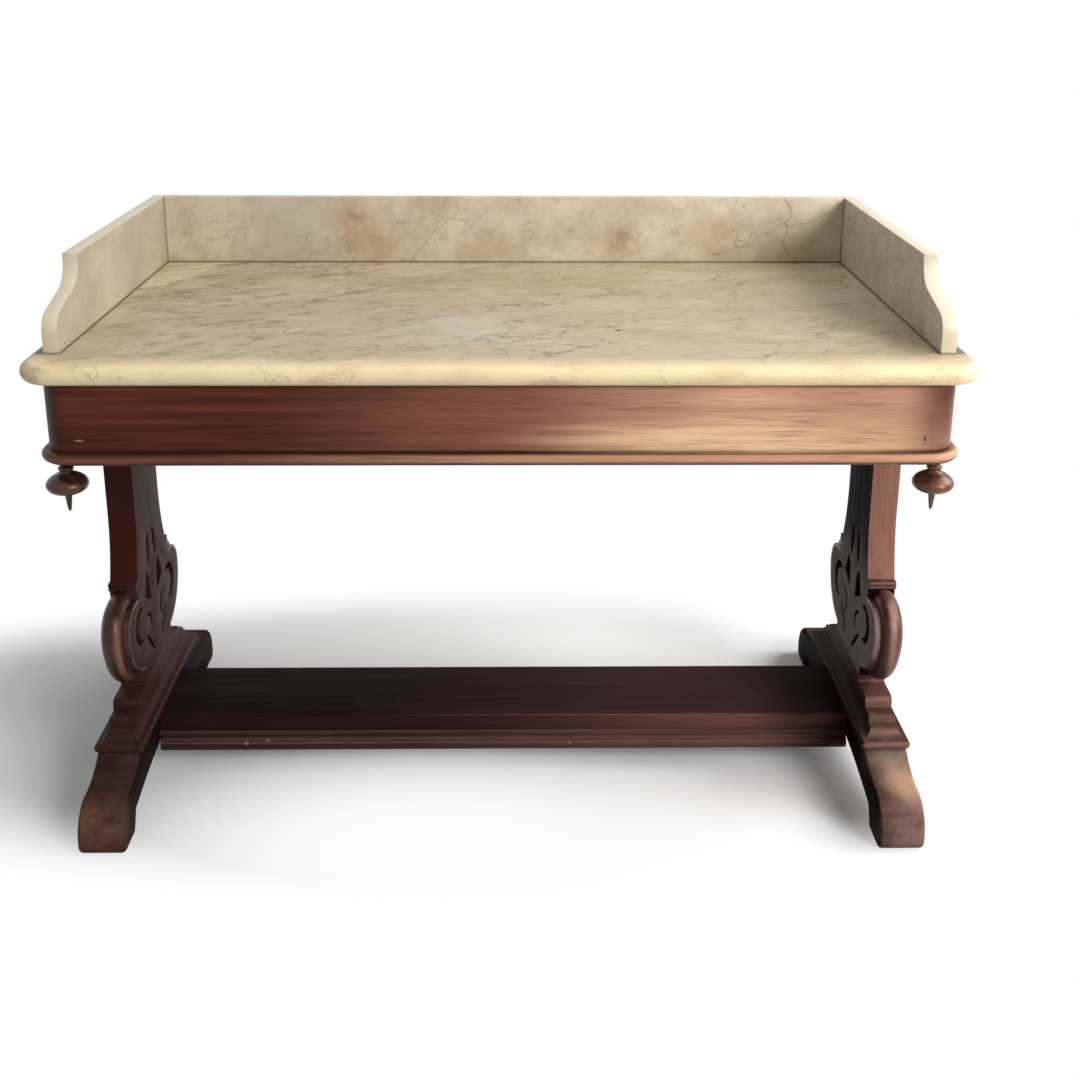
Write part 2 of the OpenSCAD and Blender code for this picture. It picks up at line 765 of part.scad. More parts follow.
// Side view of the sledge foot: crest, hollow instep, round toe, pad and arch
module foot_outline() {
    pad_y = foot_half - pad_l;
    difference() {
        polygon(both_sides(concat(
            [[instep_y, foot_h]],
            arc(toe_y, toe_top + instep_r, instep_r, 270 - asin(instep_run / instep_r), 268, 8),
            arc(toe_y, toe_centre_h, toe_r, 90, 0, 12),
            arc(foot_half - toe_low_r, toe_low_r, toe_low_r, 0, -90, 6)
        )));
        intersection() {
            translate([0, arch_high - arch_r]) circle(r = arch_r, $fn = 360);
            polygon(both_sides([[pad_y, 0], [pad_y - arch_low, 2 * arch_low]]));
        }
    }
}

module foot(side) {
    color([0.28, 0.16, 0.12]) difference() {
        translate([0, wood_y, 0]) across(side * panel_x, foot_t) foot_outline();
        base_pegs(side, fit_gap);
        cleat_screw_pair(side, fit_gap);
    }
}

module left_foot() { foot(left); }
module right_foot() { foot(right); }

module base_dowels() {
    color([0.60, 0.46, 0.30]) for (s = [left, right]) base_pegs(s, 0);
}

module shelf_board() {
    color([0.20, 0.10, 0.09]) translate([-shelf_half_l, wood_y - shelf_half, shelf_z])
        cube([2 * shelf_half_l, 2 * shelf_half, shelf_t]);
}

// Section of a moulded rail: listel, hollow and bead, with its face outwards
module moulding_section() {
    bead_r = moulding_h / 4;
    hollow_h = moulding_h - listel_h - 2 * bead_r;
    inner = moulding_face - moulding_t;
    face = moulding_face - fascia_in;
    hollow_out = 1;
    difference() {
        union() {
            translate([inner, 0]) square([face - inner, moulding_h]);
            translate([inner, moulding_h - listel_h]) square([moulding_t, listel_h]);
            translate([moulding_face - bead_r, bead_r]) circle(r = bead_r, $fn = 48);
            translate([inner, 0]) square([moulding_face - bead_r - inner, 2 * bead_r]);
        }
        translate([face + hollow_out, 2 * bead_r + hollow_h / 2]) circle(d = hollow_h, $fn = 32);
    }
}

module shelf_moulding(end) {
    color([0.34, 0.17, 0.12]) translate([-shelf_half_l, wood_y, moulding_z])
        mirror([0, end == front ? 1 : 0, 0]) rotate([90, 0, 90])
            linear_extrude(2 * shelf_half_l) moulding_section();
}

module shelf_front_moulding() { shelf_moulding(front); }
module shelf_rear_moulding() { shelf_moulding(rear); }

// Two holes, or screws, from a cleat into the foot
module cleat_screw_pair(side, gap) {
    start = shelf_half_l - cleat_t;
    for (s = [front, rear])
        translate([side * start, wood_y + s * cleat_screw_y, cleat_screw_z]) rotate([0, side * 90, 0]) {
            cylinder(d = screw_d + 2 * gap, h = cleat_t + foot_t / 2, $fn = 24);
            cylinder(d1 = screw_head_d + 2 * gap, d2 = screw_d + 2 * gap,
                     h = (screw_head_d - screw_d) / 2, $fn = 24);
        }
}

module cleat(side) {
    color([0.50, 0.36, 0.24]) difference() {
        translate([side * (shelf_half_l - cleat_t / 2) - cleat_t / 2, wood_y - cleat_half,
                   shelf_z - cleat_h])
            cube([cleat_t, 2 * cleat_half, cleat_h]);
        cleat_screw_pair(side, fit_gap);
    }
}

module left_cleat() { cleat(left); }
module right_cleat() { cleat(right); }

module cleat_screws() {
    color([0.55, 0.50, 0.42]) for (s = [left, right]) cleat_screw_pair(s, 0);
}

marble_slab();
back_splash();
left_splash();
right_splash();
splash_pins();
front_rail();
back_rail();
left_rail();
right_rail();
left_corner_block();
right_corner_block();
front_bead();
left_bead();
right_bead();
left_corner_bead();
right_corner_bead();
left_bearer();
right_bearer();
centre_bearer();
glue_blocks();
bearer_screws();
left_pendant();
right_pendant();
left_panel();
right_panel();
left_front_roll();
left_rear_roll();
right_front_roll();
right_rear_roll();
left_front_collar();
left_rear_collar();
right_front_collar();
right_rear_collar();
left_pedestal();
right_pedestal();
left_plinth();
right_plinth();
left_foot();
right_foot();
base_dowels();
shelf_board();
shelf_front_moulding();
shelf_rear_moulding();
left_cleat();
right_cleat();
cleat_screws();
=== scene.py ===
import bpy
import math
from mathutils import Matrix, Vector


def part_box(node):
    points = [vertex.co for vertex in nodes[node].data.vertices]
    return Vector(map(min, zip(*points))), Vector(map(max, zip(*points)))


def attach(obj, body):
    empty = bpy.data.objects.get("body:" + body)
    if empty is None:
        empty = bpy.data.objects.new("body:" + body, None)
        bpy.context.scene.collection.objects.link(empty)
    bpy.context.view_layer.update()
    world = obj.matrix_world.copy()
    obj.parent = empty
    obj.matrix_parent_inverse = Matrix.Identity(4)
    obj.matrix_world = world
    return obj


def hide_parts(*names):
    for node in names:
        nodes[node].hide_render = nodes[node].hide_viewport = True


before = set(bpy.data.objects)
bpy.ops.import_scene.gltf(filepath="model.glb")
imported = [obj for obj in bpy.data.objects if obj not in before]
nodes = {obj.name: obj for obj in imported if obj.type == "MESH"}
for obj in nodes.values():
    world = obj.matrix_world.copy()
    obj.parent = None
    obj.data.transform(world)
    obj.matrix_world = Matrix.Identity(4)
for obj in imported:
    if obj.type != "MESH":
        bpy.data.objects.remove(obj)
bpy.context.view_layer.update()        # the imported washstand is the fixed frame
scene = bpy.context.scene

# faces of the frame that the finishes and the pendants are laid from
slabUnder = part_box("marble_slab")[0].z
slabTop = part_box("marble_slab")[1].z
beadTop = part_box("front_bead")[1].z
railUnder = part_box("front_rail")[0].z
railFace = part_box("front_rail")[0].y
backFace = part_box("back_splash")[0].y
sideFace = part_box("right_splash")[0].x
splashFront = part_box("right_splash")[0].y


# selecting and finishing, as in the viewport
def letGo():
    if bpy.context.mode != "OBJECT":
        bpy.ops.object.mode_set(mode="OBJECT")
    bpy.ops.object.select_all(action="DESELECT")


def pickUp(obj):
    letGo()
    obj.select_set(True)
    bpy.context.view_layer.objects.active = obj


def intoEdit(obj):
    pickUp(obj)
    bpy.ops.object.mode_set(mode="EDIT")
    bpy.ops.mesh.select_mode(type="VERT")


def settle(obj):
    # the place goes into the mesh, and the object stays at the origin
    pickUp(obj)
    bpy.ops.object.transform_apply(location=True, rotation=True, scale=True)


def applyModifier(obj, kind, **values):
    pickUp(obj)
    mod = obj.modifiers.new(kind.title(), kind)
    for key, value in values.items():
        setattr(mod, key, value)
    bpy.ops.object.modifier_apply(modifier=mod.name)


def smoothOver(obj, angle):
    pickUp(obj)
    bpy.ops.object.shade_smooth_by_angle(angle=math.radians(angle))


def dress(obj, stuff):
    obj.data.materials.clear()
    obj.data.materials.append(stuff)


def nodeOf(name):
    # frontRail stands in for front_rail
    return "".join("_" + letter.lower() if letter.isupper() else letter for letter in name)


def hangOn(obj):
    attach(obj, "root")
    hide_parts(nodeOf(obj.name))


def tone(r, g, b):
    # a colour as it is read off a screen
    return tuple(((c / 255 + 0.055) / 1.055) ** 2.4 for c in (r, g, b)) + (1,)


class Wire:
    # a shader value, so that a sum reads as a sum
    def __init__(self, paint, socket):
        self.paint = paint
        self.socket = socket

    def sum(self, how, first, second=0.0):
        return self.paint.add("ShaderNodeMath", {"operation": how}, {0: first, 1: second})

    def __add__(self, other):
        return self.sum("ADD", self, other)

    def __radd__(self, other):
        return self.sum("ADD", other, self)

    def __sub__(self, other):
        return self.sum("SUBTRACT", self, other)

    def __rsub__(self, other):
        return self.sum("SUBTRACT", other, self)

    def __mul__(self, other):
        return self.sum("MULTIPLY", self, other)

    def __rmul__(self, other):
        return self.sum("MULTIPLY", other, self)

    def __abs__(self):
        return self.sum("ABSOLUTE", self)

    def least(self, other):
        return self.sum("MINIMUM", self, other)

    def most(self, other):
        return self.sum("MAXIMUM", self, other)

    def rise(self, low, high):
        # 0 below low, 1 above high, with a soft turn between; high may be the smaller
        return self.paint.add("ShaderNodeMapRange", {"interpolation_type": "SMOOTHSTEP"},
                              {"Value": self, "From Min": low, "From Max": high})


class Paint:
    # one procedural finish
    def __init__(self, name):
        self.stuff = bpy.data.materials.new(name)
        self.stuff.use_nodes = True
        self.tree = self.stuff.node_tree
        self.tree.nodes.clear()
        self.spot = self.add("ShaderNodeTexCoord", out="Object")

    def add(self, kind, settings=None, sockets=None, out=0):
        node = self.tree.nodes.new(kind)
        for key, value in (settings or {}).items():
            setattr(node, key, value)
        for key, value in (sockets or {}).items():
            if isinstance(value, Wire):
                self.tree.links.new(value.socket, node.inputs[key])
            else:
                node.inputs[key].default_value = value
        return Wire(self, node.outputs[out])

    def laid(self, scale=(1, 1, 1), turn=(0, 0, 0), shift=(0, 0, 0)):
        # turned first and squeezed after, so the stretch follows the turn
        return self.add("ShaderNodeMapping", {"vector_type": "TEXTURE"}, {
            "Vector": self.spot, "Location": shift, "Scale": tuple(1 / s for s in scale),
            "Rotation": tuple(math.radians(a) for a in turn)})

    def cloud(self, where, scale, detail=3.0, rough=0.5, bend=0.0):
        return self.add("ShaderNodeTexNoise", None, {
            "Vector": where, "Scale": scale, "Detail": detail, "Roughness": rough, "Distortion": bend})

    def cells(self, where, scale, feature="F1"):
        return self.add("ShaderNodeTexVoronoi", {"feature": feature},
                        {"Vector": where, "Scale": scale}, "Distance")

    def bent(self, where, scale, amount, detail=2.0):
        # the same place, pushed about by a cloud
        push = self.add("ShaderNodeTexNoise", None,
                        {"Vector": where, "Scale": scale, "Detail": detail}, "Color")
        middle = self.add("ShaderNodeVectorMath", {"operation": "SUBTRACT"}, {0: push, 1: (0.5, 0.5, 0.5)})
        short = self.add("ShaderNodeVectorMath", {"operation": "SCALE"}, {0: middle, "Scale": amount})
        return self.add("ShaderNodeVectorMath", {"operation": "ADD"}, {0: where, 1: short})

    def along(self, letter):
        # how far along an axis the place is
        return self.add("ShaderNodeSeparateXYZ", None, {0: self.spot}, letter)

    def facing(self, letter):
        # how far the surface faces along an axis
        normal = self.add("ShaderNodeNewGeometry", out="Normal")
        return self.add("ShaderNodeSeparateXYZ", None, {0: normal}, letter)

    def near(self, place, radius, stretch=(1, 1, 1)):
        # 1 at a place, fading out to 0 at the radius
        gap = self.add("ShaderNodeVectorMath", {"operation": "SUBTRACT"}, {0: self.spot, 1: place})
        gap = self.add("ShaderNodeVectorMath", {"operation": "DIVIDE"}, {0: gap, 1: stretch})
        far = self.add("ShaderNodeVectorMath", {"operation": "LENGTH"}, {0: gap}, "Value")
        return far.rise(radius, radius * 0.2)

    def veins(self, stretch, turn, shift, scale, width, bend, kept):
        # fine cracks along bent cell edges, kept only where a slower cloud is high
        where = self.laid(stretch, turn, shift)
        line = self.cells(self.bent(where, scale * 2.2, bend, 6.0), scale, "DISTANCE_TO_EDGE")
        fade = self.cloud(where, scale * 0.8, 4.0, 0.6).rise(kept, kept + 0.10)
        return line.rise(width, width * 0.15) * fade

    def blend(self, amount, first, second):
        return self.add("ShaderNodeMix", {"data_type": "RGBA", "blend_type": "MIX"},
                        {0: amount, 6: first, 7: second}, 2)

    def finish(self, colour, roughness, height, depth, **fixed):
        # depth is in metres; fixed values are the same all over, such as the specular tint
        bump = self.add("ShaderNodeBump", None, {"Height": height, "Distance": depth, "Strength": 1.0})
        sockets = {"Base Color": colour, "Roughness": roughness, "Normal": bump}
        for key, value in fixed.items():
            sockets[key.replace("_", " ")] = value
        shader = self.add("ShaderNodeBsdfPrincipled", None, sockets)
        out = self.tree.nodes.new("ShaderNodeOutputMaterial")
        self.tree.links.new(shader.socket, out.inputs["Surface"])
        return self.stuff


slabMarble = {
    "cream": tone(201, 184, 153),
    "tan": tone(184, 164, 130),
    "grey": tone(128, 112, 90),
    "waxAndHighlight": tone(252, 230, 182),      # the waxed front edge, also painted lighter as a highlight
    "vein": tone(92, 80, 62),
    "rust": tone(200, 160, 116),
    "pale": tone(200, 195, 176),
    "bright": tone(226, 210, 180),
    "jointDark": tone(82, 66, 50),
    "pits": tone(52, 44, 38),
    # one place each: middle, radius and stretch
    "brightCorner": ((0.54, 0.15, slabTop), 0.22, (0.7, 1.4, 1)),
    "paleWash": ((-0.04, -0.129, slabTop), 0.13, (1.5, 1, 1)),
    "bigPit": ((0.157, -0.141, slabTop), 0.005, (1.4, 1.6, 1)),
    "smear": ((-0.374, 0.103, slabTop), 0.03, (1.6, 0.35, 1)),
    # rust stains: middle, radius and strength
    "stains": (((-0.001, -0.312, 0.71), 0.06, 0.6), ((0.08, -0.14, slabTop), 0.07, 0.25),
               ((-0.25, -0.025, slabTop), 0.1, 0.2), ((0.33, -0.10, slabTop), 0.07, 0.2)),
    "stainStretch": (1.6, 1, 1),
    # veins: stretch, turn, shift, cells per metre, width, bend and how much is left out
    "longVeins": ((0.6, 1.3, 1), (0, 0, 30), (3, 1, 0), 7, 0.016, 0.10, 0.49),
    "shortVeins": ((0.6, 1.4, 1), (0, 0, 38), (7, 2, 0), 15, 0.034, 0.05, 0.50),
    "hairVeins": ((0.5, 1.5, 1), (0, 0, 20), (1, 5, 0), 28, 0.06, 0.03, 0.49),
    "edgeVeins": ((0.8, 1, 1), (0, 30, 0), (5, 0, 2), 22, 0.04, 0.06, 0.50),
    "edgeFrom": -0.262,                # the honey comes in from here to edgeTo
    "edgeTo": -0.326,
    "jointWidth": 0.0035,              # darker beside the upstands, at its full strength within jointCore
    "jointCore": 0.001,
    "jointEnd": 0.002,                 # how softly it stops at their front ends
}


def slabPaint():
    p = Paint("slabMarble")
    m = slabMarble
    flat = p.laid((0.8, 1.3, 1))
    ragged = p.cloud(p.spot, 26, 5.0, 0.65)
    clouds = p.cloud(p.bent(flat, 5, 0.08), 7, 6.0, 0.62, 0.5)
    colour = p.blend(clouds.rise(0.40, 0.66), m["cream"], m["tan"])
    colour = p.blend(p.cloud(flat, 30, 5.0, 0.65).rise(0.42, 0.70) * 0.4, colour, m["tan"])
    # painted shade: the front of the top painted a little darker
    colour = p.blend(p.along("Y").rise(0.15, -0.25) * 0.35, colour, m["tan"])
    # painted light: the right back corner lightened over the right upstand's shadow
    colour = p.blend(p.near(*m["brightCorner"]) * 0.45, colour, m["bright"])
    leftward = 0.35 + 0.65 * p.along("X").rise(0.15, -0.4)
    smudge = p.cloud(p.laid((0.55, 1.5, 1), (0, 0, 24)), 36, 6.0, 0.60, 0.8).rise(0.50, 0.64)
    colour = p.blend(smudge * leftward * 0.7, colour, m["grey"])
    colour = p.blend(p.near(*m["paleWash"]) * ragged.rise(0.3, 0.6) * 0.7, colour, m["pale"])
    for place, radius, strength in m["stains"]:
        stain = p.near(place, radius, m["stainStretch"]) * ragged.rise(0.35, 0.6)
        colour = p.blend(stain * strength, colour, m["rust"])
    shortVeins = p.veins(*m["shortVeins"])
    colour = p.blend(p.veins(*m["longVeins"]) * 0.6, colour, m["vein"])
    colour = p.blend(shortVeins * 0.6, colour, m["vein"])
    colour = p.blend(p.veins(*m["hairVeins"]) * 0.4, colour, m["vein"])
    # the front edge, yellower and less veined, and painted lighter as a highlight
    edge = p.along("Y").rise(m["edgeFrom"], m["edgeTo"])
    colour = p.blend(edge * (0.6 + 0.5 * ragged), colour, m["waxAndHighlight"])
    colour = p.blend(edge * p.veins(*m["edgeVeins"]) * 0.28, colour, m["vein"])
    blush = p.cloud(p.laid((0.5, 1, 1.5)), 16, 4.0).rise(0.52, 0.68)
    colour = p.blend(edge * blush * 0.5, colour, m["rust"])
    pit = p.cells(p.spot, 9).rise(0.03, 0.018) * p.cloud(p.spot, 5).rise(0.54, 0.58)
    pit = pit.most(p.near(*m["bigPit"]))
    colour = p.blend(pit * 0.85, colour, m["pits"])
    colour = p.blend(p.near(*m["smear"]) * 0.4, colour, m["grey"])
    # darker in the joint round the upstands
    behindFront = p.along("Y").rise(splashFront - m["jointEnd"], splashFront + m["jointEnd"])
    beside = (sideFace - abs(p.along("X"))).rise(m["jointWidth"], m["jointCore"]) * behindFront
    behind = (backFace - p.along("Y")).rise(m["jointWidth"], m["jointCore"])
    joint = beside.most(behind) * p.facing("Z").rise(0.6, 0.9)
    colour = p.blend(joint * (0.6 + 0.5 * ragged), colour, m["jointDark"])
    rough = 0.30 + 0.2 * clouds + 0.1 * ragged
    height = ragged * 0.3 - pit * 2.0 - shortVeins * 0.15
    return p.finish(colour, rough, height, 0.0005)


splashMarble = {
    "cream": tone(219, 206, 180),
    "tan": tone(196, 178, 150),
    "grey": tone(182, 172, 152),
    "shade": tone(156, 148, 130),
    "vein": tone(92, 80, 64),
    "rust": tone(182, 148, 112),
    "dull": tone(150, 136, 112),
    "edge": tone(232, 220, 192),       # painted highlight: the narrow edges painted paler, as they catch more light
    "pits": tone(66, 56, 46),
    "jointDark": tone(78, 64, 50),
    "stainStretch": (1.15, 1, 1.15),
    "footFrom": slabTop + 0.0035,      # darker along the foot, from this height down
    "footTo": slabTop + 0.0005,
    "cornerFrom": sideFace - 0.0027,   # and in the corners behind
    "cornerTo": sideFace - 0.0005,
}


def splashPaint(name, cast, stains, veins=1.0, specks=0.3, streaks=0.0, shift=(0, 0, 0), mottle=1.0,
                corner=False, litEdges=False):
    # the upstand's ground colour comes first, painted darker on the left upstand as painted shade and paler
    # on the right one as painted light; a stain is its middle, radius, strength and colour
    p = Paint(name)
    m = splashMarble
    where = p.laid(shift=shift)
    ragged = p.cloud(p.spot, 26, 5.0, 0.65)
    clouds = p.cloud(p.bent(where, 4, 0.1), 8, 5.0, 0.62, 0.4)
    colour = p.blend(clouds.rise(0.38, 0.66) * mottle, cast, m["tan"])
    colour = p.blend(p.cloud(where, 20, 6.0, 0.68).rise(0.45, 0.66) * 0.55, colour, m["grey"])
    colour = p.blend(p.cloud(where, 60, 5.0, 0.7).rise(0.50, 0.70) * 0.35, colour, m["dull"])
    for place, radius, strength, tint in stains:
        stain = p.near(place, radius, m["stainStretch"]) * ragged.rise(0.30, 0.58)
        colour = p.blend(stain * strength, colour, tint)
    bold = p.veins((0.7, 1, 1.2), (0, -35, 0), shift, 7, 0.014, 0.09, 0.50)
    hair = p.veins((0.6, 1, 1.3), (0, -20, 0), (2, 5, 1), 17, 0.028, 0.05, 0.51)
    colour = p.blend(bold * 0.55 * veins, colour, m["vein"])
    colour = p.blend(hair * 0.35 * veins, colour, m["vein"])
    if streaks:
        run = p.cloud(p.laid((1, 60, 4)), 2, 4.0, 0.6).rise(0.50, 0.66)
        colour = p.blend(run * streaks, colour, m["shade"])
    speck = p.cells(p.spot, 95).rise(0.22, 0.08) * p.cloud(p.spot, 24).rise(0.46, 0.6)
    pit = p.cells(p.spot, 30).rise(0.07, 0.04) * p.cloud(p.spot, 9).rise(0.52, 0.58)
    colour = p.blend(speck * specks, colour, m["pits"])
    colour = p.blend(pit * 0.7, colour, m["pits"])
    # painted highlight on the narrow top and front edges
    if litEdges:
        colour = p.blend(abs(p.facing("X")).rise(0.7, 0.3) * 0.75, colour, m["edge"])
    foot = p.along("Z").rise(m["footFrom"], m["footTo"])
    if corner:
        foot = foot.most(abs(p.along("X")).rise(m["cornerFrom"], m["cornerTo"]))
    colour = p.blend(foot * 0.7, colour, m["jointDark"])
    return p.finish(colour, 0.34 + 0.2 * clouds, ragged * 0.3 - pit * 1.5, 0.0005)


upstands = {
    "backSplashMarble": {
        "cast": splashMarble["cream"],
        "stains": (((-0.258, 0.30, 0.775), 0.05, 0.75, splashMarble["rust"]),
                   ((-0.209, 0.30, 0.737), 0.05, 0.5, splashMarble["rust"]),
                   ((0.193, 0.30, 0.752), 0.034, 0.75, tone(156, 126, 94)),
                   ((0.361, 0.30, 0.756), 0.05, 0.6, splashMarble["rust"]),
                   ((-0.02, 0.30, 0.74), 0.05, 0.35, splashMarble["rust"]),
                   ((-0.36, 0.30, 0.79), 0.10, 0.6, tone(196, 190, 172)),
                   ((0.45, 0.30, 0.765), 0.11, 0.5, tone(170, 152, 124)),
                   # painted light: the far right end lightened over the right upstand's shadow
                   ((0.555, 0.30, 0.765), 0.09, 0.7, tone(230, 220, 198)),
                   ((-0.249, 0.30, 0.796), 0.02, 0.6, tone(120, 98, 74))),
        "corner": True,
    },
    "leftSplashMarble": {
        # painted shade: the left upstand's ground painted darker
        "cast": tone(160, 148, 127),
        "stains": (((-0.565, 0.27, 0.79), 0.04, 0.4, splashMarble["shade"]),
                   ((-0.565, 0.0, 0.77), 0.1, 0.4, splashMarble["grey"])),
        "veins": 0.35, "specks": 0.2, "streaks": 0.3, "shift": (4, 0, 0), "mottle": 0.6, "litEdges": True,
    },
    "rightSplashMarble": {
        # painted light: the right upstand's ground painted paler, where it faces away from the light
        "cast": tone(220, 213, 200),
        "stains": (((0.565, -0.1, 0.74), 0.05, 0.25, splashMarble["rust"]),),
        "veins": 0.3, "specks": 0.8, "shift": (9, 3, 0), "mottle": 0.3, "litEdges": True,
    },
}

grainWays = {
    # broad figure, lines and hair, each in turns per metre
    "level": ((1.3, 1.3, 15), (3.0, 3.0, 95), (14, 14, 420)),
    "X": ((1.3, 15, 15), (3.0, 95, 95), (14, 420, 420)),
    "Z": ((15, 15, 1.3), (95, 95, 3.0), (420, 420, 14)),
}

mahogany = {
    "wax": (0.90, 0.66, 0.52, 1),      # brown wax warms what the wood reflects
    "hair": tone(40, 18, 13),
    "film": tone(120, 106, 94),        # dust, and the scuffs in it
    "scuff": tone(140, 118, 100),
}


def mahoganyPaint(name, grain, tones, gloss, shine=0.2, dust=0.0, coats=(), gleams=(), patches=(), nicks=()):
    # tones: dark, middle and light wood;
    # coats: (colour, amount, by or looking, ...), laid over one part of the wood, in order;
    # gleams, which are painted highlights, and patches: (place, radius, stretch, colour, amount), streaked
    # and ragged;
    # nicks: (place, radius, stretch, colour)
    p = Paint(name)
    m = mahogany
    dark, mid, light = tones
    broadWay, lineWay, hairWay = grainWays[grain]
    broad = p.cloud(p.bent(p.laid(broadWay), 0.8, 0.4), 1.0, 3.0, 0.55, 0.4)
    lines = p.cloud(p.bent(p.laid(lineWay), 0.5, 0.6), 1.0, 4.0, 0.62)
    hair = p.cloud(p.laid(hairWay), 1.0, 2.0, 0.55)
    figure = broad * 0.5 + lines * 0.5
    colour = p.blend(figure.rise(0.40, 0.53), dark, mid)
    colour = p.blend(figure.rise(0.50, 0.62) * 0.9, colour, light)
    wear = p.cloud(p.spot, 14, 5.0, 0.65)
    scuff = p.cells(p.bent(p.spot, 30, 0.01), 70).rise(0.10, 0.04) * p.cloud(p.spot, 7).rise(0.52, 0.62)
    if dust:
        film = wear.rise(0.40, 0.72) * (0.25 + 0.75 * p.facing("Z").rise(0.2, 0.9))
        colour = p.blend(film * dust, colour, m["film"])
        colour = p.blend(scuff * 0.4, colour, m["scuff"])
    streak = 0.55 + 0.9 * lines.least(0.7)
    for tint, amount, *masks in coats:
        for way, letter, start, end in masks:
            amount = getattr(p, way)(letter).rise(start, end) * amount
        colour = p.blend(streak * amount, colour, tint)
    for place, radius, stretch, tint, amount in gleams:
        band = (0.3 + 0.7 * figure.rise(0.42, 0.56)) * (0.6 + 0.6 * wear) * amount
        colour = p.blend(p.near(place, radius, stretch) * band, colour, tint)
    colour = p.blend(hair.rise(0.52, 0.72) * 0.30, colour, m["hair"])
    for place, radius, stretch, tint, amount in patches:
        colour = p.blend(p.near(place, radius, stretch) * wear.rise(0.28, 0.56) * amount, colour, tint)
    for place, radius, stretch, tint in nicks:
        colour = p.blend(p.near(place, radius, stretch) * 0.85, colour, tint)
    rough = gloss + 0.14 * wear + 0.1 * hair
    height = lines * 0.3 + hair * 0.25 - scuff * 0.4
    return p.finish(colour, rough, height, 0.0002, Specular_IOR_Level=shine, Specular_Tint=m["wax"])


# masks for the coats, each 0 at the start and 1 at the end
def by(letter, start, end):
    return "along", letter, start, end


def looking(letter, start, end):
    return "facing", letter, start, end


blackish = tone(26, 12, 10)
front = looking("Y", -0.15, -0.75)
roundFront = looking("Y", 0.1, -0.5)
squareFront = looking("Y", -0.4, -0.8)
uprightFront = looking("Y", -0.85, -0.97)
intoRight = looking("X", 0.4, 0.8)
intoLeft = looking("X", -0.3, -0.8)
towardsRight = by("X", -0.3, 0.5)
# painted shade: a dark line under the slab's overhang
shadeUnderSlab = (blackish, 0.85, by("Z", slabUnder - 0.006, slabUnder))
# painted shade: a dark line in the gap above the bead
shadeOverBead = (blackish, 0.9, by("Z", beadTop + 0.0065, beadTop + 0.0025))
# the narrow front edge of a trestle neck, clear of the fretwork
neckEdge = (squareFront, by("Y", -0.070, -0.076), by("Z", 0.316, 0.322))
even = (1, 1, 1)                       # a nick or patch that isn't stretched
mouldFace = -0.098                     # the nicks lie a millimetre inside the foremost line

